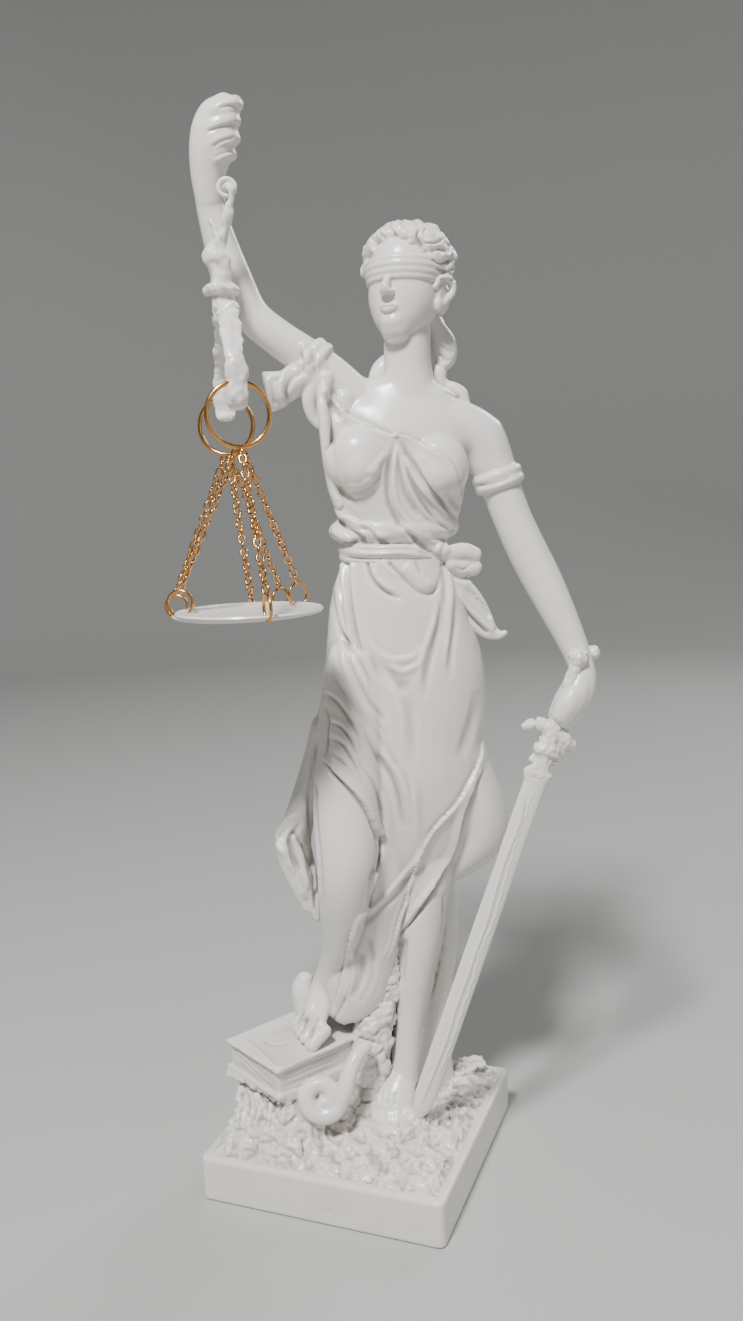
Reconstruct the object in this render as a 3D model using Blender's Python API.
"""Souvenir statue of a blindfolded woman holding a pair of scales and a sword.

The figure, its robe, the rock, the book, the snake and the plinth are one casting.
The sword, the balance beam, the hand loop, the rings, the chains and the pans are
pieces of their own. The row frame has its origin at the centre of the plinth's
underside, +Z up, with the plinth's front towards -Y.

The figure is shaped in a frame of its own: x to the side, y away from the front,
z up, in figure units that are millimetres at the nominal size. Its z counts from
FIGURE_GROUND, the mark that stands on the plinth's top.
"""

import math

import bmesh
import bpy
import numpy as np
from mathutils import Matrix, Vector

# Driving sizes, metres
PLINTH_SIDE = 0.0765
PLINTH_HEIGHT = 0.014
PLINTH_CORNER = 0.0022
PLINTH_EDGE = 0.0010
ROCK_MARGIN = 0.0026
FIGURE_HEIGHT = 0.3036
FIGURE_TURN = math.radians(21)
FIT_GAP = 0.0004
CARVED_GAP = 0.0010

BEAM_DROP = 0.0205
BEAM_WIDTH = 0.0060
BEAM_THICKNESS = 0.0026
BEAM_HUB_RADIUS = 0.0034
BEAM_FLANGE_RADIUS = 0.0056
COLUMN_HEIGHT = 0.0190
HOOK_WIRE = 0.0018
HOOK_SLACK = 0.0007
HAND_LOOP_RADIUS = 0.0033
HAND_LOOP_WIRE = 0.0010

BIG_RING_RADIUS = 0.0083
BIG_RING_WIRE = 0.0013
SMALL_RING_RADIUS = 0.0031
SMALL_RING_WIRE = 0.0009
CHAIN_WIDTH = 0.0018
CHAIN_WIRE = 0.0006
CHAIN_LINK = 0.0024
PAN_RADIUS = 0.0197
PAN_WALL = 0.0011
PAN_DISH = 0.0012
PAN_CLEARANCE = 0.0017
PAN_HOLE_INSET = 0.0026
PAN_HOLE_TURNS = (-49, 71, 191)
RING_DIP = 0.0006
PAN_DROPS = {"near": 0.0434, "far": 0.0482}
BEAM_SIDES = (("near", -1), ("far", 1))
BEAM_ARM = PAN_RADIUS + PAN_CLEARANCE
BIG_RING_TURNS = {-1: math.radians(18), 1: math.radians(-12)}

BLADE_WIDTH = 0.0070
BLADE_THICKNESS = 0.0028
HILT_LENGTH = 0.030
GUARD_DROP = 0.0275
GUARD_REACH = 0.0088
GUARD_WIRE = 0.0040
GRIP_RADIUS = 0.0019
POMMEL_RADIUS = 0.0031

# Fineness of the casting, figure units, and of the loose pieces
CLAY_VOXEL = 0.8
CASTING_TRIANGLES = 4850
BEAM_VOXEL = 0.00032
BEAM_TRIANGLES = 640
WIRE_SIDES = 5
LOOP_STEPS = 14
BIG_RING_STEPS = 20
SMALL_RING_STEPS = 12
PAN_STEPS = 22

# The figure's own marks, figure units
FIGURE_GROUND = 14.0
FIGURE_TOP = 317.6
BOOK_TOP = 42.0
BOOK_THICKNESS = 9.5
BOOK_NEAR = (-24.3, -25.0)
BOOK_LENGTH = 42.0
BOOK_WIDTH = 27.5
BOOK_TURN = math.radians(40.5)
HEAD = (22.0, 1.5, 267.6)
HEAD_TURN = math.radians(-27)
HEAD_SCALE = 1.07
BEAM_CENTRE = (-27.9, -13.8, 259.0)
BEAM_TURN = math.radians(101.3)
HAND_LOOP_CENTRE = (-25.7, -14.2, 291.6)
SWORD_TIP = (16.6, -17.5, 20.5)
SWORD_END = (69.8, -9.5, 162.0)

UNIT = FIGURE_HEIGHT / (FIGURE_TOP - FIGURE_GROUND)
TO_ROW = (
    Matrix.Translation((0, 0, PLINTH_HEIGHT))
    @ Matrix.Rotation(FIGURE_TURN, 4, "Z")
    @ Matrix.Scale(UNIT, 4)
    @ Matrix.Translation((0, 0, -FIGURE_GROUND))
)
TO_FIGURE = TO_ROW.inverted()


def row_point(point):
    return TO_ROW @ Vector(point)


def material(name, colour, roughness, metallic=0.0):
    made = bpy.data.materials.new(name)
    made.use_nodes = True
    shader = made.node_tree.nodes["Principled BSDF"]
    shader.inputs["Base Color"].default_value = (*colour, 1)
    shader.inputs["Roughness"].default_value = roughness
    shader.inputs["Metallic"].default_value = metallic
    return made


def new_object(name, bm, look, smooth_angle=50):
    """An object from a bmesh, faces turned outwards, shaded smooth."""
    bmesh.ops.recalc_face_normals(bm, faces=bm.faces)
    mesh = bpy.data.meshes.new(name)
    bm.to_mesh(mesh)
    bm.free()
    mesh.materials.append(look)
    mesh.shade_smooth()
    mesh.set_sharp_from_angle(angle=math.radians(smooth_angle))
    made = bpy.data.objects.new(name, mesh)
    bpy.context.scene.collection.objects.link(made)
    return made


def cutter(name, bm):
    made = new_object(name, bm, CUTTER_LOOK)
    made.hide_render = True
    made.display_type = "WIRE"
    return made


def boolean(target, other, operation):
    step = target.modifiers.new(other.name, "BOOLEAN")
    step.operation = operation
    step.object = other
    other.hide_render = True
    other.display_type = "WIRE"


def smooth_rows(rows, per):
    """Catmull-Rom curve through rows of numbers, PER steps to each span."""
    rows = np.array(rows, float)
    ends = np.vstack([2 * rows[0] - rows[1], rows, 2 * rows[-1] - rows[-2]])
    out = []
    for a, b, c, d in zip(ends, ends[1:], ends[2:], ends[3:]):
        for t in np.arange(per) / per:
            bend = 2 * a - 5 * b + 4 * c - d
            out.append(0.5 * (2 * b + (c - a) * t + bend * t**2 + (3 * b - a - 3 * c + d) * t**3))
    out.append(rows[-1])
    return np.array(out)


def ring_of(bm, centre, across, deep, half_width, half_depth, sides):
    """One closed ring of vertices round a station."""
    turns = np.arange(sides) * 2 * math.pi / sides
    points = [
        centre + across * half_width * math.cos(turn) + deep * half_depth * math.sin(turn)
        for turn in turns
    ]
    return [bm.verts.new(point) for point in points]


def skin(bm, rings):
    """Closed skin over rings of equal count, with a flat cap at each end."""
    for lower, upper in zip(rings, rings[1:]):
        for i in range(len(lower)):
            j = (i + 1) % len(lower)
            bm.faces.new((lower[i], lower[j], upper[j], upper[i]))
    bm.faces.new(rings[0][::-1])
    bm.faces.new(rings[-1])


def limb(bm, rows, side=(1, 0, 0), per=3, sides=20, dome=0.8):
    """Rounded body along rows of (x, y, z, half width, half depth)."""
    line = smooth_rows(rows, per)
    tangents = np.gradient(line[:, :3], axis=0)
    tangents /= np.linalg.norm(tangents, axis=1)[:, None]
    stations = []
    for step in (80, 55, 28):
        stations.append((line[0], tangents[0], -1, math.radians(step)))
    stations += [(row, tangent, 1, 0.0) for row, tangent in zip(line, tangents)]
    for step in (28, 55, 80):
        stations.append((line[-1], tangents[-1], 1, math.radians(step)))
    rings = []
    side = Vector(side)
    for row, tangent, way, angle in stations:
        along = Vector(tangent)
        across = (side - along * side.dot(along)).normalized()
        centre = Vector(row[:3]) + along * (way * dome * min(row[3:5]) * math.sin(angle))
        shrink = math.cos(angle)
        deep = along.cross(across)
        rings.append(ring_of(bm, centre, across, deep, row[3] * shrink, row[4] * shrink, sides))
    skin(bm, rings)


def ball(bm, centre, radii, turn=None):
    """Ellipsoid with the given half sizes."""
    place = Matrix.Translation(centre) @ (turn or Matrix()) @ Matrix.Diagonal((*radii, 1))
    bmesh.ops.create_icosphere(bm, subdivisions=3, radius=1, matrix=place)


def tube_ring(bm, frame, radius, wire, around, sides):
    """Round ring of wire lying in the frame's XY plane."""
    rings = []
    for i in range(around):
        turn = 2 * math.pi * i / around
        out = Vector((math.cos(turn), math.sin(turn), 0))
        centre = out * radius
        points = []
        for k in range(sides):
            roll = 2 * math.pi * k / sides
            lift = Vector((0, 0, wire * math.sin(roll)))
            points.append(centre + out * (wire * math.cos(roll)) + lift)
        rings.append([bm.verts.new(frame @ point) for point in points])
    for a, b in zip(rings, rings[1:] + rings[:1]):
        for i in range(sides):
            j = (i + 1) % sides
            bm.faces.new((a[i], a[j], b[j], b[i]))


def oval_band(bm, frame, half_width, half_depth, wire, rise=0.0, steps=32, sides=8):
    """Roll of cloth round an oval in the frame's XY plane, raised by RISE at its far side."""
    rings = []
    for turn in np.linspace(0, 2 * math.pi, steps + 1)[:-1]:
        out = polar(turn, 1)
        lift = rise * (0.5 + 0.5 * out.y)
        centre = Vector((half_width * out.x, half_depth * out.y, lift))
        ring = []
        for roll in np.linspace(0, 2 * math.pi, sides + 1)[:-1]:
            point = centre + out * (wire * math.cos(roll)) + Vector((0, 0, wire * math.sin(roll)))
            ring.append(bm.verts.new(frame @ point))
        rings.append(ring)
    for a, b in zip(rings, rings[1:] + rings[:1]):
        for i in range(sides):
            j = (i + 1) % sides
            bm.faces.new((a[i], a[j], b[j], b[i]))


def polar(angle, length):
    return Vector((math.cos(angle), math.sin(angle), 0)) * length


# The figure's body

def torso(bm):
    limb(bm, [
        (16.0, 1.0, 186, 15.6, 11.0), (16.0, 0.8, 193, 14.8, 10.2), (17.6, 0.6, 203, 19.0, 11.2),
        (18.0, 0.4, 213, 20.2, 11.8), (18.6, 0.8, 222, 21.0, 11.2), (20.0, 1.6, 230, 22.0, 9.4),
        (21.0, 2.0, 236, 15.0, 7.4),
    ], sides=28)
    for x, z in ((6.8, 219.5), (28.6, 216.5)):
        ball(bm, (x, -8.2, z), (8.2, 7.4, 7.8))
    limb(bm, [(22.2, 2.0, 228, 12.0, 8.0), (22.2, 1.8, 236, 8.8, 7.4), (22.2, 1.6, 243, 6.9, 6.7),
              (22.2, 1.4, 250, 6.7, 6.7), (22.6, 1.4, 258, 6.8, 6.8)])
    ball(bm, (43.6, 2.2, 221.5), (7.0, 7.0, 9.0), Matrix.Rotation(math.radians(-32), 4, "Y"))
    limb(bm, [(10.0, 2.6, 232.5, 7.4, 6.6), (3.5, 2.4, 237.5, 7.0, 6.6), (-2.5, 1.8, 243.5, 6.2, 6.0)],
         side=(0, 0, 1))


def raised_arm(bm):
    limb(bm, [
        (6.0, 2.2, 235, 7.4, 7.0), (-1.5, 1.5, 243.4, 6.2, 6.2), (-8.4, 0.6, 249.2, 5.3, 5.4),
        (-15.5, 0.0, 254.4, 5.0, 5.2), (-22.2, -0.4, 260.6, 4.9, 5.0), (-26.2, -1.8, 269.6, 5.1, 4.9),
        (-29.3, -3.2, 279.4, 4.7, 4.4), (-31.6, -4.8, 289.6, 3.8, 3.5), (-31.4, -5.8, 295.0, 4.4, 3.8),
    ], side=(0.75, 0, 0.66))
    limb(bm, [(-31.6, -5.4, 292.0, 4.0, 3.4), (-31.2, -6.2, 298, 5.2, 4.2), (-30.0, -7.0, 303, 6.0, 4.8),
              (-28.6, -7.2, 307.5, 5.6, 4.8), (-26.4, -7.4, 311.6, 4.2, 4.0)])
    finger_heights = (298.4, 302.2, 306.4, 310.8)
    finger_radii = (1.9, 2.2, 2.4, 2.4)
    for z, r in zip(finger_heights, finger_radii):
        limb(bm, [(-33.6, -6.0, z - 1.4, r, r), (-30.0, -11.0, z - 0.2, r, r),
                  (-25.4, -11.2, z + 2.0, r, r), (-23.4, -7.4, z + 3.0, r, r),
                  (-25.4, -4.6, z + 2.0, r * 0.9, r * 0.9)], side=(0, 0, 1), sides=12)
    limb(bm, [(-33.0, -3.0, 300, 2.2, 2.2), (-30.5, -2.0, 307, 2.3, 2.2), (-27.5, -3.4, 311.6, 2.0, 2.0)],
         sides=12)


def lowered_arm(bm):
    limb(bm, [
        (40.6, 2.2, 226, 7.2, 7.0), (45.4, 2.0, 218, 6.4, 6.4), (48.4, 1.2, 209, 5.7, 5.7),
        (51.4, 0.4, 200, 5.6, 5.6), (55.4, -0.4, 190.5, 5.7, 5.6), (59.6, -1.4, 181.6, 5.6, 5.4),
        (64.0, -3.4, 171.8, 4.9, 4.7), (68.2, -5.4, 161.6, 4.0, 3.9), (70.4, -6.6, 154.4, 3.5, 3.8),
        (70.2, -7.6, 149.6, 4.0, 4.4),
    ], side=(0.9, 0, 0.4))
    limb(bm, [(70.6, -6.8, 154.0, 3.3, 4.4), (68.6, -8.0, 149.6, 4.6, 5.6), (65.6, -9.0, 145.2, 5.4, 5.8),
              (63.2, -9.6, 141.8, 4.6, 5.0)], side=(0.8, 0, -0.6))
    for i in range(4):
        base = Vector((70.2 - 2.2 * i, -7.4, 152.0 - 3.0 * i))
        limb(bm, [(*base, 2.0, 2.0), (*(base + Vector((-3.2, -5.8, 0.2))), 2.0, 2.0),
                  (*(base + Vector((-7.4, -6.2, 0.6))), 1.9, 1.9),
                  (*(base + Vector((-9.0, -2.4, 1.0))), 1.7, 1.7)], side=(0, 0, 1), sides=12)


def legs(bm):
    limb(bm, [
        (6.0, -3.0, 160, 11.0, 10.0), (1.4, -8.0, 136, 10.6, 9.6), (-0.9, -12.4, 118, 9.8, 9.2),
        (-1.2, -15.6, 104, 8.9, 8.6), (-2.2, -15.2, 95, 8.0, 7.8), (-3.2, -11.6, 85, 7.0, 7.4),
        (-4.6, -7.4, 75, 5.6, 6.4), (-7.4, -3.4, 66, 4.3, 4.8), (-9.6, -1.2, 60, 3.9, 4.2),
    ])
    limb(bm, [(-9.4, 2.0, 53.5, 3.8, 4.0), (-10.4, -3.2, 55.0, 4.4, 4.2), (-12.6, -9.6, 49.8, 5.0, 3.4),
              (-14.0, -14.6, 45.8, 5.4, 2.6)])
    raised_toes = ((-9.2, 0.0, 2.3), (-12.2, -0.8, 1.9), (-14.8, -0.6, 1.8), (-17.0, 0.6, 1.7),
                   (-18.8, 2.2, 1.6))
    for x, y, r in raised_toes:
        limb(bm, [(x - 1.0, y - 13.6, 45.6, r, r), (x - 1.6, y - 18.0, BOOK_TOP + r - 0.1, r, r)], sides=12)
    limb(bm, [
        (25.0, 2.0, 120, 10.0, 10.0), (23.5, -0.6, 100, 8.6, 8.6), (21.6, -1.6, 86, 7.4, 7.6),
        (20.2, -1.2, 74, 6.8, 7.4), (18.4, -0.8, 62, 6.0, 6.6), (16.6, -1.2, 49, 4.4, 4.6),
        (15.2, -1.8, 39, 3.7, 4.0), (14.0, -2.8, 31, 3.9, 4.4),
    ])
    limb(bm, [(14.4, 2.2, 24.5, 3.9, 4.2), (13.6, -2.0, 27.0, 4.3, 4.6), (12.0, -6.6, 24.8, 4.9, 3.6),
              (10.8, -10.6, 22.2, 5.2, 2.5)])
    for x, y, r in ((14.6, 0.0, 2.2), (11.8, -0.4, 1.8), (9.4, 0.4, 1.7), (7.3, 1.6, 1.6), (5.5, 3.2, 1.5)):
        limb(bm, [(x, y - 9.6, 22.4, r, r), (x - 0.2, y - 13.8, 19.6 + r * 0.6, r, r)], sides=12)


def robe(bm):
    limb(bm, [
        (16.0, 0.8, 193, 15.4, 10.8), (16.2, 1.0, 186, 17.2, 12.4), (16.4, 1.4, 178, 19.8, 14.0),
        (17.0, 1.8, 168, 21.9, 15.2), (17.9, 2.0, 156, 24.2, 16.2), (17.4, 2.2, 145, 25.0, 16.8),
        (15.6, 2.4, 134, 26.2, 17.2), (15.2, 2.6, 124, 27.0, 17.4), (15.6, 3.2, 114, 26.6, 16.8),
        (15.4, 4.0, 104, 23.0, 15.6), (14.0, 4.6, 94, 18.6, 13.6),
    ], sides=36)
    limb(bm, [(31, 3.0, 138, 9.0, 11), (34.6, 3.2, 124, 9.0, 11), (38.2, 3.2, 112, 9.2, 10.4),
              (38.2, 3.2, 104, 9.0, 9.6), (33.6, 3.6, 98, 7.6, 8.6), (28, 4.0, 93, 6.0, 7.6)],
         side=(1, 0, 0.2))
    limb(bm, [(-8, -1, 137, 3.4, 8.6), (-10.6, -1.4, 125, 3.8, 9.2), (-14.4, -1.6, 114, 4.6, 9.0),
              (-17.4, -1.8, 104, 6.0, 8.6), (-14.6, -1.6, 94, 4.4, 7.8), (-12.4, -1.8, 86, 3.0, 6.6),
              (-11.0, -2.0, 80, 1.6, 4.6)], side=(1, 0, 0.1))
    limb(bm, [(8.0, -2.0, 104, 13, 11), (6.0, -2.6, 92, 12.4, 9.8), (4.6, -3.0, 80, 10.0, 8.2),
              (2.4, -3.2, 68, 10.2, 6.8), (-0.6, -3.6, 57, 11.6, 5.8), (-2.4, -5.4, 50, 10.6, 4.6),
              (-4.6, -7.6, 45.6, 8.0, 3.4)])
    limb(bm, [(24, 8.6, 110, 12, 8), (26.4, 8.8, 90, 6.4, 5.6), (28.6, 9.4, 76, 4.2, 4.8),
              (27.6, 9.6, 60, 4.2, 4.6), (24.6, 9.4, 42, 4.2, 4.6), (22.6, 8.8, 26, 4.4, 4.8),
              (22.0, 8.4, 16, 5.0, 5.4)])
    limb(bm, [(14.6, 9.0, 120, 21, 10), (13.4, 10.4, 96, 19, 9.4), (11.0, 11.0, 72, 17.4, 8.8),
              (10.4, 11.4, 48, 17.2, 8.6), (10.6, 11.8, 28, 18.4, 9.2), (10.6, 12.0, 15, 20.0, 10.2)],
         sides=28)


def sash_and_bow(bm):
    waist = Vector((15.8, 0.9, 192.3))
    for z, grow in ((-2.0, 0.9), (0.0, 1.2), (2.0, 0.7)):
        place = Matrix.Translation(waist + Vector((0, 0, z))) @ Matrix.Rotation(math.radians(1.5), 4, "Y")
        oval_band(bm, place, 15.0 + grow, 10.4 + grow, 1.5)
    limb(bm, [(31.0, -4.0, 190, 2.6, 2.4), (36.0, -3.0, 188.6, 3.6, 2.2), (39.4, -1.4, 184.4, 3.2, 2.0),
              (35.6, -3.0, 183.0, 2.2, 1.8), (32.6, -5.0, 187.4, 1.8, 1.8)], side=(0, 0, 1), sides=14)
    limb(bm, [(33.4, -4.4, 187, 2.4, 1.8), (36.6, -3.2, 180, 3.2, 1.6), (40.6, -1.6, 172.4, 3.8, 1.5),
              (43.6, 0.2, 165.2, 3.0, 1.4)], side=(1, 0, 0.3), sides=14)
    limb(bm, [(32.2, -3.4, 187, 2.0, 1.8), (35.2, 0.0, 178, 2.6, 1.6), (39.0, 2.6, 168, 2.8, 1.5)], sides=14)


def arm_bands(bm):
    for shift in (-1.2, 1.4):
        centre = Vector((47.6, 1.5, 211.4)) + Vector((0.30, -0.08, -0.95)) * shift
        place = Matrix.Translation(centre) @ Matrix.Rotation(math.radians(-17), 4, "Y")
        tube_ring(bm, place, 6.1, 1.5, 24, 8)
    for shift in (-1.6, 1.2):
        centre = Vector((-5.6, 1.0, 247.4)) + Vector((-0.8, 0, 0.6)) * shift
        place = Matrix.Translation(centre) @ Matrix.Rotation(math.radians(-54), 4, "Y")
        tube_ring(bm, place, 5.9, 1.5, 24, 8)
    limb(bm, [(-3.0, 0.6, 246.0, 4.6, 5.8), (-8.6, -0.6, 242.4, 3.8, 5.6), (-14.2, -1.4, 239.6, 4.6, 5.4),
              (-18.6, -1.8, 238.6, 6.0, 5.0)], side=(0.3, 0, 1), sides=22, dome=0.25)
    limb(bm, [(-1.0, -0.6, 243, 4.4, 6.4), (-3.2, -0.6, 234, 3.0, 7.0), (-3.4, 0.0, 224, 2.6, 7.4),
              (-1.0, 0.6, 214, 2.0, 7.0)], side=(1, 0, 0.2), sides=18)


def head(bm):
    turn = Matrix.Rotation(HEAD_TURN, 4, "Z") @ Matrix.Rotation(math.radians(-5), 4, "X")
    frame = Matrix.Translation(HEAD) @ turn @ Matrix.Scale(HEAD_SCALE, 4)
    start = bmesh.new()
    ball(start, (0, 2.2, 3.4), (9.4, 11.2, 11.4))
    limb(start, [(0, -2.0, 11.0, 7.0, 5.8), (0, -2.4, 6.0, 8.6, 7.2), (0, -2.4, 0.0, 8.8, 7.4),
                 (0, -2.6, -5.0, 8.2, 6.8), (0, -2.8, -9.0, 7.0, 6.2), (0, -3.6, -12.6, 5.2, 5.2),
                 (0, -4.8, -15.2, 3.2, 3.8)], sides=24)
    limb(start, [(0, -9.4, 2.0, 1.2, 1.0), (0, -10.4, -1.4, 1.2, 1.3), (0, -11.5, -4.6, 1.5, 1.5),
                 (0, -10.6, -6.0, 1.7, 1.0)], sides=12)
    for way in (-1, 1):
        ball(start, (way * 8.9, 1.4, -2.2), (1.1, 2.0, 3.4), Matrix.Rotation(math.radians(10), 4, "X"))
        ball(start, (way * 4.9, -6.6, -4.4), (3.0, 2.4, 3.0))
        limb(start, [(way * 7.2, 0.6, -6.0, 2.0, 2.6), (way * 5.0, -3.0, -11.0, 2.0, 2.4),
                     (way * 1.8, -6.4, -14.2, 1.8, 1.8)], sides=12)
    ball(start, (0, -9.6, -9.2), (2.9, 1.1, 1.2))
    ball(start, (0, -9.2, -11.0), (2.3, 1.1, 1.0))
    ball(start, (0, -7.4, -14.4), (2.6, 2.0, 1.9))
    hair(start)
    blindfold(start)
    bmesh.ops.transform(start, matrix=frame, verts=start.verts)
    mesh = bpy.data.meshes.new("head")
    start.to_mesh(mesh)
    bm.from_mesh(mesh)
    start.free()
    bpy.data.meshes.remove(mesh)


def blindfold(bm):
    """Four folded turns of cloth round the head at the eyes."""
    for i in range(4):
        oval_band(bm, Matrix.Translation((0, 0.9, -3.4 + 2.3 * i)), 9.0, 10.8, 1.15, rise=2.2)


def hair(bm):
    """Cap of hair with wavy locks swept from the parting to the nape."""
    ball(bm, (0, 3.8, 4.6), (11.4, 11.6, 11.6))
    locks = 9
    for way in (-1, 1):
        for i in range(locks):
            share = i / (locks - 1)
            rows = []
            for step in range(9):
                t = step / 8
                lift = math.radians(74 - 72 * share)
                swing = math.radians(-62 + 150 * t)
                wave = 1 + 0.05 * math.sin(14 * t + 1.9 * i)
                x = way * 12.4 * wave * math.cos(lift) * math.cos(swing)
                y = 3.2 + 12.2 * wave * math.sin(swing) * (0.55 + 0.45 * math.cos(lift))
                z = 4.0 + 12.4 * wave * math.sin(lift) * (1 - 0.3 * t * t) - 7.0 * share * t
                rows.append((x, y, z + 0.7 * math.sin(11 * t + 1.7 * i), 1.7, 1.5))
            limb(bm, rows, per=2, sides=8)
    ball(bm, (0, 11.6, -3.0), (7.6, 5.4, 7.4))


def braid(bm):
    """Braid lumps from the nape to the front of the left shoulder."""
    line = smooth_rows([(30.5, 9.0, 256), (34.0, 8.6, 249), (34.0, 8.0, 242.6), (36.4, 5.4, 237),
                        (38.6, 3.0, 233.4)], 2)
    for i, point in enumerate(line):
        size = 3.4 - 0.14 * i
        way = 1 if i % 2 else -1
        ball(bm, tuple(point + np.array([way * 0.7, 0, 0])), (size, size * 0.9, size * 0.95))
    limb(bm, [(24, 9, 258, 7.0, 5.0), (20, 9.4, 248, 6.6, 4.4), (17, 9.0, 241, 4.6, 3.4)])


def book(bm):
    """Closed book lying on the rock: two covers, a block of pages and a rounded spine."""
    along = polar(BOOK_TURN, 1)
    aside = polar(BOOK_TURN + math.pi / 2, 1)
    near = Vector((*BOOK_NEAR, 0))
    cover = 1.3

    def slab(low, high, inset):
        corners = []
        for u, v in ((0, 0), (1, 0), (1, 1), (0, 1)):
            point = near + along * (inset + u * (BOOK_LENGTH - 2 * inset))
            point += aside * (inset + v * (BOOK_WIDTH - 2 * inset))
            corners.append(point)
        lower = [bm.verts.new(Vector((p.x, p.y, low))) for p in corners]
        upper = [bm.verts.new(Vector((p.x, p.y, high))) for p in corners]
        skin(bm, [lower, upper])

    bottom = BOOK_TOP - BOOK_THICKNESS
    slab(bottom - 3.0, bottom + cover, 0.0)
    slab(bottom + 0.5, BOOK_TOP - 0.5, 1.5)
    slab(BOOK_TOP - cover, BOOK_TOP, 0.0)


def snake(bm):
    """Snake coiled against the book, its body running up behind the robe's hem."""
    centre = Vector((-11.2, -19.4, 29.6))
    tilt = Matrix.Rotation(math.radians(62), 4, "X")
    rows = []
    for step in range(15):
        turn = math.radians(-250 + 25 * step)
        radius = 3.4 + 1.9 * step / 14
        point = centre + tilt @ Vector((radius * math.cos(turn), radius * math.sin(turn), 0))
        rows.append((*point, 2.4, 2.4))
    rows += [(-3.6, -17.4, 31.0, 2.4, 2.4), (-2.4, -14.0, 36.0, 2.5, 2.5), (-2.2, -11.0, 41.0, 2.3, 2.3)]
    limb(bm, rows, side=(0.1, 0.9, 0.2), per=2, sides=12)


def stump(bm):
    """Rough stump between the two legs and the small mound that holds the sword's point."""
    limb(bm, [(3.0, -4.0, 15, 9.0, 7.0), (3.0, -4.4, 26, 7.4, 6.0), (3.6, -3.6, 38, 6.6, 5.4),
              (5.0, -2.6, 50, 6.2, 4.8), (8.0, -1.6, 60, 4.6, 4.2)], sides=14)
    ball(bm, (16.6, -18.4, 16.0), (6.2, 5.2, 5.4))
    ball(bm, (-17.6, 5.0, 52.0), (4.4, 4.6, 8.0), Matrix.Rotation(math.radians(14), 4, "Y"))
    ball(bm, (38.0, 19.0, 17.0), (6.4, 5.0, 4.4))


def rock(bm):
    """Rock over the plinth's top: a height field with wavy ridges, high under the book."""
    half = PLINTH_SIDE / 2 - ROCK_MARGIN
    count = 56
    book_centre = Vector((*BOOK_NEAR, 0)) + polar(BOOK_TURN, BOOK_LENGTH / 2)
    book_centre += polar(BOOK_TURN + math.pi / 2, BOOK_WIDTH / 2)
    grid = []
    for iy in range(count + 1):
        line = []
        for ix in range(count + 1):
            spot = Vector((half * (2 * ix / count - 1), half * (2 * iy / count - 1), PLINTH_HEIGHT))
            place = TO_FIGURE @ spot
            local = place - Vector((book_centre.x, book_centre.y, place.z))
            u = abs(local.dot(polar(BOOK_TURN, 1))) / (BOOK_LENGTH / 2)
            v = abs(local.dot(polar(BOOK_TURN + math.pi / 2, 1))) / (BOOK_WIDTH / 2)
            near_book = max(0.0, min(1.0, 1.9 - 1.25 * max(u, v * 0.95)))
            near_book = near_book * near_book * (3 - 2 * near_book)
            edge = min(1 - abs(spot.x) / half, 1 - abs(spot.y) / half)
            rise = min(1.0, edge / 0.055)
            ridges = math.sin(0.9 * place.x + 1.7 * math.sin(0.22 * place.y + 0.1 * place.x) + 0.35 * place.y)
            ridges += 0.6 * math.sin(0.55 * place.y - 0.5 * place.x + 1.2 * math.sin(0.3 * place.x))
            low = 1.0 + 3.6 * min(1.0, 3.2 * edge) + 0.55 * ridges
            high = BOOK_TOP - BOOK_THICKNESS - 1.0 - FIGURE_GROUND + 0.4 * ridges
            height = rise * (low + (high - low) * near_book)
            line.append(TO_FIGURE @ (spot + Vector((0, 0, UNIT * height))))
        grid.append(line)
    top = [[bm.verts.new(point) for point in line] for line in grid]
    floor = FIGURE_GROUND - 4.0
    low = [[bm.verts.new(Vector((point.x, point.y, floor))) for point in line] for line in grid]
    for iy in range(count):
        for ix in range(count):
            bm.faces.new((top[iy][ix], top[iy][ix + 1], top[iy + 1][ix + 1], top[iy + 1][ix]))
            bm.faces.new((low[iy + 1][ix], low[iy + 1][ix + 1], low[iy][ix + 1], low[iy][ix]))
    for i in range(count):
        for a, b in (((0, i), (0, i + 1)), ((count, i + 1), (count, i)),
                     ((i + 1, 0), (i, 0)), ((i, count), (i + 1, count))):
            bm.faces.new((low[a[0]][a[1]], low[b[0]][b[1]], top[b[0]][b[1]], top[a[0]][a[1]]))


# Strokes that press and raise the surface, as a carver's tool does

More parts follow.
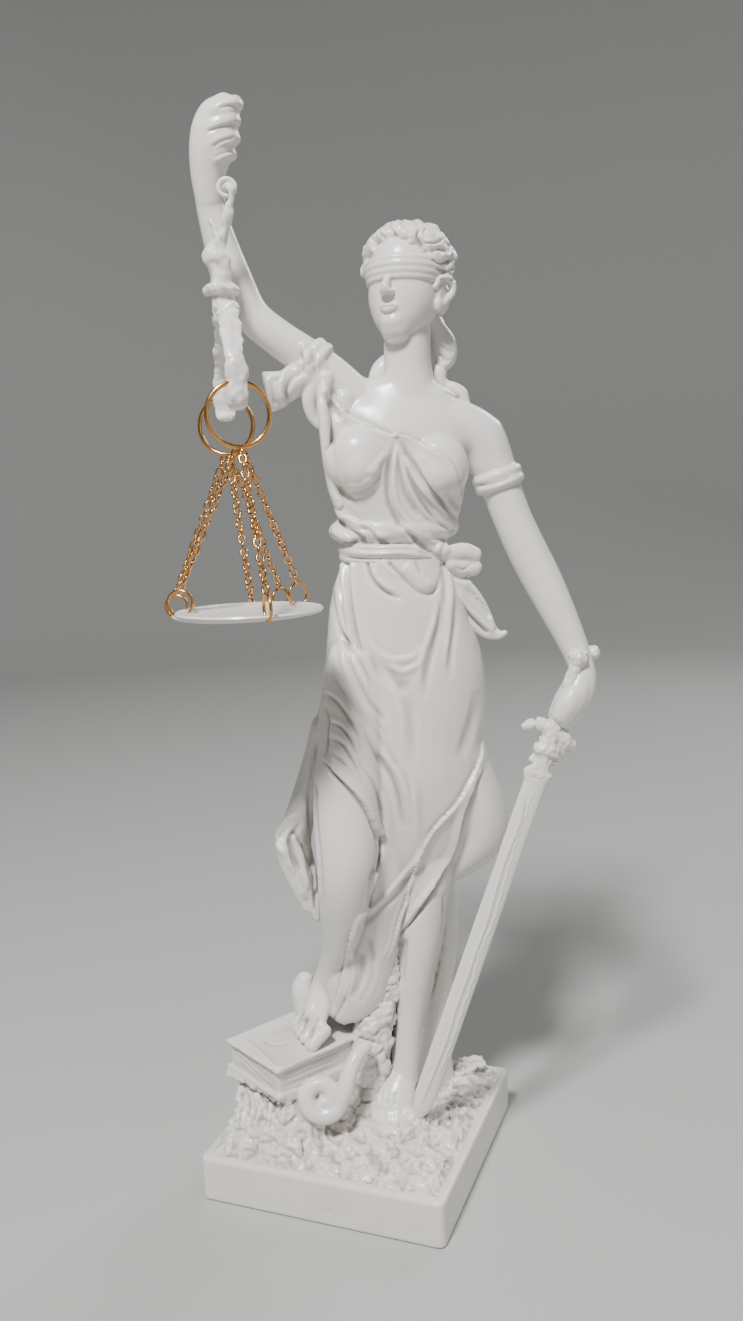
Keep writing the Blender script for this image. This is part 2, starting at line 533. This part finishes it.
class Clay:
    """The casting's surface as arrays in the figure's frame."""

    def __init__(self, mesh):
        count = len(mesh.vertices)
        flat = np.empty(count * 3, np.float32)
        mesh.vertices.foreach_get("co", flat)
        self.mesh = mesh
        self.points = flat.reshape(-1, 3).astype(float)
        self.update_normals()

    def update_normals(self):
        self.mesh.vertices.foreach_set("co", self.points.astype(np.float32).ravel())
        self.mesh.update()
        flat = np.empty(len(self.points) * 3, np.float32)
        self.mesh.vertex_normals.foreach_get("vector", flat)
        self.normals = flat.reshape(-1, 3).astype(float)

    def stroke(self, path, width, lift, facing=(0, -1, 0), kind="ridge", deep=(-99, 99), fade=(0.15, 0.15)):
        """Moves the surface along a path drawn as (x, z) and seen from the facing side."""
        line = smooth_rows([(x, 0.0, z) for x, z in path], 5)
        facing = np.array(facing, float) / np.linalg.norm(facing)
        low, high = line.min(axis=0) - width, line.max(axis=0) + width
        inside = (self.points[:, 0] > low[0]) & (self.points[:, 0] < high[0])
        inside &= (self.points[:, 2] > low[2]) & (self.points[:, 2] < high[2])
        inside &= (self.points[:, 1] > deep[0]) & (self.points[:, 1] < deep[1])
        inside &= (self.normals @ facing) > 0
        index = np.flatnonzero(inside)
        if not len(index):
            return
        flat = self.points[index][:, [0, 2]]
        best = np.full(len(index), 1e9)
        share = np.zeros(len(index))
        count = len(line) - 1
        for i in range(count):
            a, b = line[i, [0, 2]], line[i + 1, [0, 2]]
            step = b - a
            t = np.clip((flat - a) @ step / max(step @ step, 1e-9), 0, 1)
            away = np.linalg.norm(flat - a - t[:, None] * step, axis=1)
            closer = away < best
            best[closer] = away[closer]
            share[closer] = (i + t[closer]) / count
        t = np.clip(best / width, 0, 1)
        shape = (1 - t * t) ** 2
        if kind == "fold":
            shape *= 1 - 3.0 * t * t
        for end, room in ((share, fade[0]), (1 - share, fade[1])):
            if room > 0:
                shape = shape * np.clip(end / room, 0, 1) ** 0.7
        shape = shape * np.clip(3.0 * (self.normals[index] @ facing), 0, 1)
        self.points[index] += self.normals[index] * (lift * shape)[:, None]


def between(a, b, t):
    return tuple(p + (q - p) * t for p, q in zip(a, b))


def sag(a, b, drop, lean=0.0):
    """Three points of a hanging fold from a to b, its middle let down by drop."""
    middle = between(a, b, 0.5 + lean)
    return [a, (middle[0], middle[1] - drop), b]


def carve(clay):
    drapery(clay)
    clay.update_normals()
    relief(clay)
    clay.update_normals()


def drapery(clay):
    """Folds of the blouse and the robe, as families of strokes."""
    knot = (17.3, 224.0)
    for i in range(6):
        t = i / 5
        end = between((22.0, 199.0), (33.5, 195.0), t)
        via = between((18.5, 209.0), (30.5, 207.5), t)
        clay.stroke([between(knot, (22.5, 221.6), t), via, end], 2.3, 1.35, kind="fold")
    for i in range(4):
        t = i / 3
        clay.stroke([between((-0.6, 209), (-0.5, 201), t), between((4.0, 203), (3.4, 198), t),
                     between((12.5, 197.5), (6.0, 196.0), t)], 2.0, 1.2, kind="fold")
    for i in range(4):
        t = i / 3
        clay.stroke([between((-3.5, 240), (1.5, 240), t), between((-2.8, 232), (4.0, 231), t),
                     between((-2.0, 224), (8.0, 226.4), t)], 1.7, 1.0, kind="fold")
    neckline = [(-0.5, 228.8), (8.0, 226.8), knot, (25.6, 222.2), (32.0, 218.0), (35.3, 213.0), (36.8, 207.0)]
    clay.stroke(neckline, 1.9, 0.9, fade=(0, 0))
    for i in range(10):
        t = i / 9
        top = between((1.5, 189.6), (31.0, 188.6), t)
        clay.stroke([top, (top[0] + 0.4 - 0.9 * t, 181), (top[0] + 1.0 - 3.4 * t, 174)], 1.5, 0.8,
                    kind="fold", fade=(0, 0.5))
    for i in range(5):
        t = i / 4
        clay.stroke([between((9.5, 188), (4.0, 186), t), between((15.0, 180), (14.5, 166), t),
                     between((25.0, 180), (27.0, 168), t), between((28.0, 187.5), (33.4, 184), t)],
                    2.4, 0.9, kind="fold", fade=(0.1, 0.2))
    for i in range(6):
        t = i / 5
        clay.stroke([between((0.5, 186), (-4.6, 158), t), between((3.8, 170), (0.0, 148), t),
                     between((9.5, 154), (7.5, 139), t), between((14.6, 139), (12.0, 131.0), t)],
                    2.6, 1.1, kind="fold", fade=(0.2, 0.25))
    for i in range(5):
        t = i / 4
        clay.stroke([between((24.0, 176), (38.5, 176), t), between((21.5, 154), (37.5, 154), t),
                     between((19.5, 132), (38.5, 134), t)], 2.2, 0.55, kind="fold")
    for i in range(6):
        t = i / 5
        clay.stroke([(-6.2, 147 - 2.4 * i), between((-2.0, 151), (0.0, 132), t),
                     between((4.0, 153), (7.0, 128), t)], 1.4, 0.7, kind="fold", fade=(0, 0.5))
    border = [(40.7, 136), (33.5, 121), (24.1, 109.0), (17.5, 102.5), (10.1, 91.4), (0.4, 80.4)]
    clay.stroke(border, 1.8, 1.3, fade=(0.05, 0.05))
    clay.stroke([(x - 1.8, z - 2.2) for x, z in border], 1.7, -1.2, fade=(0.1, 0.05))
    second = [(38.5, 124), (32.4, 107.5), (26.8, 94.2), (16.8, 80.5)]
    clay.stroke(second, 1.7, 1.0, fade=(0.1, 0.1))
    clay.stroke([(x + 2.0, z - 1.2) for x, z in second], 1.6, -0.9)
    thigh = [(-6.3, 133), (-1.0, 127), (4.6, 120), (8.0, 112), (8.8, 104), (6.6, 98), (5.6, 88), (1.8, 80)]
    clay.stroke(thigh, 1.3, -1.3, fade=(0.1, 0.1))
    clay.stroke([(x + 2.0, z + 1.2) for x, z in thigh], 1.8, 0.8, fade=(0.1, 0.1))
    clay.stroke([(-6.2, 149), (-7.4, 138), (-10.4, 126), (-10.9, 112), (-10.4, 98), (-10.2, 86)], 1.2, -1.2)
    for i in range(3):
        clay.stroke([(-13.0 - 1.6 * i, 124 - 6 * i), (-17.5 - 0.8 * i, 108 - 3 * i), (-13.5, 92 - 2 * i)],
                    1.7, 0.7, kind="fold")
    for i in range(5):
        t = i / 4
        clay.stroke([between((8.5, 104), (34, 122), t), between((6.0, 84), (38.5, 108), t),
                     between((0.0, 62), (34.0, 98), t)], 2.2, 0.7, kind="fold")
    for i in range(4):
        t = i / 3
        clay.stroke([between((4.0, 82), (13.0, 80), t), between((0.0, 66), (10.0, 68), t),
                     between((-8.0, 52), (6.0, 58), t)], 1.7, 0.7, kind="fold")
    clay.stroke([(-3.4, 97), (-2.6, 92.0), (1.6, 93.8)], 1.4, -0.5)
    back_folds = 9
    for i in range(back_folds):
        t = i / (back_folds - 1)
        path = [between((2.0, 188), (30.0, 188), t), between((-3.0, 150), (38.0, 150), t),
                between((-8.0, 110), (38.0, 110), t), between((-4.0, 70), (27.0, 70), t),
                between((-6.0, 22), (28.0, 22), t)]
        clay.stroke(path, 3.0, 1.5, facing=(0, 1, 0), kind="fold", fade=(0.1, 0))
    for i in range(5):
        t = i / 4
        clay.stroke(sag(between((-1, 230), (0, 200), t), between((38, 230), (37, 200), t), 7 + 3 * t),
                    2.6, 0.8, facing=(0, 1, 0), kind="fold")


def relief(clay):
    """Small forms: collar bones, fingers, page lines and hair."""
    clay.stroke([(8.0, 236.6), (15.0, 235.4), (19.6, 233.4)], 1.6, 0.5)
    clay.stroke([(37.0, 232.6), (30.0, 233.6), (25.0, 233.0)], 1.6, 0.5)
    clay.stroke([(22.0, 235.6), (22.2, 231.6)], 1.5, -0.5)


def cast_object(name, bm, voxel, carve=None, place=None):
    """Shapes remeshed to one skin, softened, carved and put in place."""
    rough = new_object(name + "_rough", bm, RESIN)
    fuse(rough, voxel)
    soften = rough.modifiers.new("Smooth", "SMOOTH")
    soften.iterations = 2
    mesh = bpy.data.meshes.new_from_object(rough.evaluated_get(bpy.context.evaluated_depsgraph_get()))
    bpy.data.objects.remove(rough)
    if carve:
        carve(Clay(mesh))
    if place:
        mesh.transform(place)
    made = bpy.data.objects.new(name, mesh)
    bpy.context.scene.collection.objects.link(made)
    return made


def fuse(made, voxel):
    """Overlapping shapes as one even skin."""
    step = made.modifiers.new("Remesh", "REMESH")
    step.mode = "VOXEL"
    step.voxel_size = voxel


def thin(made, triangles):
    count = len(made.evaluated_get(bpy.context.evaluated_depsgraph_get()).data.polygons)
    step = made.modifiers.new("Decimate", "DECIMATE")
    step.ratio = triangles / (2 * count)


def plinth():
    """Square plinth with rounded upright corners and softened edges."""
    bm = bmesh.new()
    place = Matrix.Translation((0, 0, PLINTH_HEIGHT / 2))
    place = place @ Matrix.Diagonal((PLINTH_SIDE, PLINTH_SIDE, PLINTH_HEIGHT, 1))
    bmesh.ops.create_cube(bm, size=1, matrix=place)
    upright = [e for e in bm.edges if abs(e.verts[0].co.z - e.verts[1].co.z) > PLINTH_HEIGHT / 2]
    bmesh.ops.bevel(bm, geom=upright, offset=PLINTH_CORNER, segments=3, affect="EDGES")
    rims = [e for e in bm.edges if abs(e.verts[0].co.z - e.verts[1].co.z) < PLINTH_EDGE / 10]
    bmesh.ops.bevel(bm, geom=rims, offset=PLINTH_EDGE, segments=1, affect="EDGES")
    return cutter("plinth_block", bm)


# The sword, the scales and their fittings

def sword_frame():
    """Frame at the sword's tip: Z along the blade, X across its width."""
    tip, end = row_point(SWORD_TIP), row_point(SWORD_END)
    along = (end - tip).normalized()
    across = (Matrix.Rotation(FIGURE_TURN, 4, "Z") @ Vector((1, 0, 0)))
    across = (across - along * across.dot(along)).normalized()
    deep = along.cross(across)
    frame = Matrix((across, deep, along)).transposed().to_4x4()
    frame.translation = tip
    return frame, (end - tip).length


def sword_body(grow=0.0):
    """Blade, collar, grip and pommel as one loft, its sections grown by GROW."""
    frame, length = sword_frame()
    wide, thick = BLADE_WIDTH / 2, BLADE_THICKNESS / 2
    hilt = length - HILT_LENGTH
    rows = [
        (0.0, wide * 0.25, thick * 0.5), (BLADE_WIDTH * 0.55, wide * 0.8, thick),
        (BLADE_WIDTH * 1.1, wide, thick),
        (hilt - HILT_LENGTH * 0.40, wide, thick), (hilt - HILT_LENGTH * 0.30, wide * 1.35, thick * 1.2),
        (hilt - HILT_LENGTH * 0.23, wide * 0.75, thick), (hilt - HILT_LENGTH * 0.13, wide * 0.8, thick * 1.1),
        (hilt - HILT_LENGTH * 0.10, wide * 1.35, thick * 1.7),
        (hilt - HILT_LENGTH * 0.03, wide * 1.25, thick * 1.6), (hilt, wide * 0.9, thick * 1.3),
        (hilt + HILT_LENGTH * 0.10, GRIP_RADIUS, GRIP_RADIUS),
        (length - POMMEL_RADIUS * 2, GRIP_RADIUS, GRIP_RADIUS),
        (length - POMMEL_RADIUS * 1.6, POMMEL_RADIUS * 0.8, POMMEL_RADIUS * 0.8),
        (length - POMMEL_RADIUS, POMMEL_RADIUS, POMMEL_RADIUS),
        (length - POMMEL_RADIUS * 0.3, POMMEL_RADIUS * 0.7, POMMEL_RADIUS * 0.7),
    ]
    bm = bmesh.new()
    rows = [(-grow, *rows[0][1:]), *rows[1:-1], (rows[-1][0] + grow, *rows[-1][1:])]
    rings = [ring_of(bm, Vector((0, 0, z)), Vector((1, 0, 0)), Vector((0, 1, 0)), a + grow, b + grow, 8)
             for z, a, b in rows]
    skin(bm, rings)
    bmesh.ops.transform(bm, matrix=frame, verts=bm.verts)
    return bm


def sword_guard(grow=0.0):
    """Cross guard with curled ends, across the blade's width."""
    frame, length = sword_frame()
    z = length - GUARD_DROP
    shares = ((-1.0, 0.41, 0.30, 0.30), (-0.82, 0.25, 0.45, 0.40), (-0.45, 0.0, 0.50, 0.55),
              (0.0, -0.05, 0.65, 0.70), (0.45, -0.16, 0.60, 0.55), (0.75, -0.59, 0.55, 0.45))
    bm = bmesh.new()
    rows = [(x * GUARD_REACH, 0.0, z + rise * GUARD_REACH, wide * GUARD_WIRE + grow, deep * GUARD_WIRE + grow)
            for x, rise, wide, deep in shares]
    limb(bm, rows, side=(0, 0, 1), per=2, sides=8, dome=0.4)
    bmesh.ops.transform(bm, matrix=frame, verts=bm.verts)
    return bm


def sword():
    made = new_object("sword", sword_body(), RESIN, 30)
    boolean(made, cutter("sword_guard_tool", sword_guard()), "UNION")
    return made


def loop_frame():
    """Frame of the hand loop: its axis looks towards the figure's front."""
    turn = Matrix.Rotation(FIGURE_TURN, 4, "Z") @ Matrix.Rotation(math.pi / 2, 4, "X")
    return Matrix.Translation(row_point(HAND_LOOP_CENTRE)) @ turn


def hand_loop():
    bm = bmesh.new()
    tube_ring(bm, loop_frame(), HAND_LOOP_RADIUS, HAND_LOOP_WIRE / 2, LOOP_STEPS, WIRE_SIDES)
    return new_object("hand_loop", bm, RESIN)


def beam_end(way):
    """Middle of the hole at one end of the beam."""
    centre = row_point(BEAM_CENTRE)
    out = Matrix.Rotation(FIGURE_TURN, 4, "Z") @ polar(BEAM_TURN, BEAM_ARM)
    return centre + out * way - Vector((0, 0, BEAM_DROP))


def balance_beam():
    """Hooked column with a disc, over a flat beam that arches down to a curl at each end."""
    bm = bmesh.new()
    centre = row_point(BEAM_CENTRE)
    out = Matrix.Rotation(FIGURE_TURN, 4, "Z") @ polar(BEAM_TURN, 1)
    side = Vector((-out.y, out.x, 0))
    hub, flange = BEAM_HUB_RADIUS, BEAM_FLANGE_RADIUS
    profile = [(-0.16, hub * 0.8), (-0.05, hub), (0.16, hub * 0.9), (0.19, flange * 0.9), (0.26, flange),
               (0.35, flange * 0.85), (0.38, hub * 0.9), (0.58, hub), (0.79, hub * 0.95), (0.90, hub * 0.9),
               (0.97, hub * 0.55), (1.0, hub * 0.2)]
    skin(bm, [ring_of(bm, centre + Vector((0, 0, share * COLUMN_HEIGHT)), out, side, r, r, 20)
              for share, r in profile])
    hook(bm, centre + Vector((0, 0, COLUMN_HEIGHT - hub / 2)))
    for way in (-1, 1):
        beam_arm(bm, out * way, side, beam_end(way))
    made = cast_object("balance_beam", bm, BEAM_VOXEL)
    for name, way in BEAM_SIDES:
        bore = bmesh.new()
        big_ring(bore, way, CARVED_GAP)
        boolean(made, cutter(f"beam_{name}_bore_tool", bore), "DIFFERENCE")
    fuse(made, BEAM_VOXEL)
    thin(made, BEAM_TRIANGLES)
    return made


def hook(bm, foot):
    """Crook that hangs in the hand loop, and its shank down to the column."""
    hang = row_point(HAND_LOOP_CENTRE) - Vector((0, 0, HAND_LOOP_RADIUS))
    wire = HOOK_WIRE / 2
    bend = wire + HAND_LOOP_WIRE / 2 + HOOK_SLACK
    swing = Matrix.Rotation(FIGURE_TURN - math.radians(50), 4, "Z") @ Vector((1, 0, 0))
    rows = []
    for turn in (215, 180, 145, 110, 75, 40, 5):
        angle = math.radians(turn)
        point = hang + swing * bend * math.cos(angle) + Vector((0, 0, bend * math.sin(angle)))
        rows.append((*point, wire, wire))
    for t in (0.35, 0.7, 1.0):
        thick = wire * (1 + 0.4 * t)
        rows.append((*(hang + swing * bend).lerp(foot, t), thick, thick))
    limb(bm, rows, side=(0, 0.6, 0.8), per=2, sides=10)


def beam_arm(bm, out, side, end):
    """Flat arm that arches down from the hub to a curl round the hole at its end."""
    half, thick = BEAM_WIDTH / 2, BEAM_THICKNESS / 2
    up = Vector((0, 0, 1))
    shares = ((-1.09, 1.0, 0.95, 1.1), (-0.70, 0.94, 0.95, 1.1), (-0.34, 0.71, 0.95, 1.1),
              (-0.04, 0.34, 0.9, 1.0), (0.0, 0.08, 1.05, 1.35), (0.0, -0.22, 1.0, 1.0),
              (-0.09, -0.30, 0.7, 0.8))
    rows = [(*(end + out * BEAM_ARM * reach + up * BEAM_DROP * rise), half * wide, thick * deep)
            for reach, rise, wide, deep in shares]
    limb(bm, rows, side=side, per=3, sides=14, dome=0.5)


def statue():
    """Figure, robe, rock, book and snake as one casting on its plinth."""
    bm = bmesh.new()
    for shape in (torso, raised_arm, lowered_arm, legs, robe, sash_and_bow, arm_bands, head, braid,
                  book, snake, stump, rock):
        shape(bm)
    made = cast_object("statue", bm, CLAY_VOXEL, carve, TO_ROW)
    boolean(made, cutter("sword_room_tool", sword_body(CARVED_GAP)), "DIFFERENCE")
    boolean(made, cutter("guard_room_tool", sword_guard(CARVED_GAP)), "DIFFERENCE")
    room = bmesh.new()
    wire = HAND_LOOP_WIRE / 2 + CARVED_GAP
    tube_ring(room, loop_frame(), HAND_LOOP_RADIUS, wire, LOOP_STEPS, WIRE_SIDES + 1)
    boolean(made, cutter("loop_room_tool", room), "DIFFERENCE")
    fuse(made, CLAY_VOXEL * UNIT)
    thin(made, CASTING_TRIANGLES)
    boolean(made, plinth(), "UNION")
    return made


def ring_frame(place, normal):
    turn = normal.to_track_quat("Z", "Y").to_matrix().to_4x4()
    return Matrix.Translation(place) @ turn


def big_ring(bm, way, grow=0.0):
    """Ring of wire through the curl at one end of the beam, turned a little on its own."""
    turn = FIGURE_TURN + BIG_RING_TURNS[way]
    facing = Matrix.Rotation(turn, 4, "Z") @ Vector((0, -1, 0))
    centre = beam_end(way) - Vector((0, 0, BIG_RING_RADIUS))
    wire = BIG_RING_WIRE / 2 + grow
    tube_ring(bm, ring_frame(centre, facing), BIG_RING_RADIUS, wire, BIG_RING_STEPS, WIRE_SIDES)
    return centre


def small_ring(bm, pan_centre, hole, grow=0.0):
    """Ring through a hole of the pan and round its rim. Gives the ring's middle and outward way."""
    out = polar(math.radians(PAN_HOLE_TURNS[hole]), 1)
    reach = math.sqrt(2 * SMALL_RING_RADIUS * RING_DIP - RING_DIP**2)
    middle = pan_centre + out * (PAN_RADIUS - PAN_HOLE_INSET + reach)
    middle += Vector((0, 0, SMALL_RING_RADIUS - RING_DIP))
    frame = ring_frame(middle, Vector((-out.y, out.x, 0)))
    tube_ring(bm, frame, SMALL_RING_RADIUS, SMALL_RING_WIRE / 2 + grow, SMALL_RING_STEPS, WIRE_SIDES)
    return middle, out


def scale_side(name, way, drop):
    """Big ring, three chains, three small rings and a pan below one end of the beam."""
    bm = bmesh.new()
    ring_centre = big_ring(bm, way)
    new_object(f"{name}_big_ring", bm, BRASS)

    low = ring_centre - Vector((0, 0, BIG_RING_RADIUS))
    pan_centre = low - Vector((0, 0, drop))
    pan(f"{name}_pan", pan_centre)
    for i in range(len(PAN_HOLE_TURNS)):
        bm = bmesh.new()
        ring_middle, out = small_ring(bm, pan_centre, i)
        new_object(f"{name}_small_ring_{i + 1}", bm, BRASS)
        chain(f"{name}_chain_{i + 1}", low, ring_middle, out)


def pan(name, centre):
    """Shallow dished disc with three holes near its rim."""
    bm = bmesh.new()
    across = Vector((1, 0, 0))
    deep = Vector((0, 1, 0))
    profile = [(0.0, 0.72), (0.55, 0.92), (1.0, 1.0)]
    rings = []
    for wall, part in ((0.0, profile), (PAN_WALL, profile[::-1])):
        for h, r in part:
            place = centre + Vector((0, 0, PAN_DISH * (h - 1) + wall))
            rings.append(ring_of(bm, place, across, deep, PAN_RADIUS * r, PAN_RADIUS * r, PAN_STEPS))
    skin(bm, rings)
    made = new_object(name, bm, RESIN, 30)
    for i in range(len(PAN_HOLE_TURNS)):
        tool = bmesh.new()
        small_ring(tool, centre, i, FIT_GAP)
        boolean(made, cutter(f"{name}_hole_tool_{i + 1}", tool), "DIFFERENCE")


def chain(name, low, ring_middle, out):
    """Twisted chain, drawn as a strand that is wide one way and then the other."""
    start = low + out * (BIG_RING_WIRE / 2 + CHAIN_WIDTH + FIT_GAP)
    start -= Vector((0, 0, BIG_RING_WIRE / 2 + CHAIN_WIRE + FIT_GAP))
    end = ring_middle + Vector((0, 0, SMALL_RING_RADIUS + SMALL_RING_WIRE / 2 + FIT_GAP + CHAIN_WIRE))
    along = (end - start).normalized()
    length = (end - start).length
    across = (out - along * out.dot(along)).normalized()
    deep = along.cross(across)
    pitch = CHAIN_LINK - 2 * CHAIN_WIRE
    count = max(4, round(length / pitch))
    bm = bmesh.new()
    rings = []
    wide, slim = CHAIN_WIDTH / 2, CHAIN_WIRE * 0.75
    for i in range(count + 1):
        a, b = (wide, slim) if i % 2 else (slim, wide)
        rings.append(ring_of(bm, start.lerp(end, i / count), across, deep, a, b, 4))
    skin(bm, rings)
    new_object(name, bm, BRASS)


def clear_scene():
    for obj in list(bpy.data.objects):
        bpy.data.objects.remove(obj)


clear_scene()
RESIN = material("white_resin", (0.80, 0.78, 0.75), 0.32)
BRASS = material("gold_brass", (0.78, 0.50, 0.24), 0.25, 1.0)
CUTTER_LOOK = material("tool", (0.5, 0.5, 0.5), 0.5)
statue()
sword()
hand_loop()
balance_beam()
for SIDE_NAME, SIDE_WAY in BEAM_SIDES:
    scale_side(SIDE_NAME, SIDE_WAY, PAN_DROPS[SIDE_NAME])
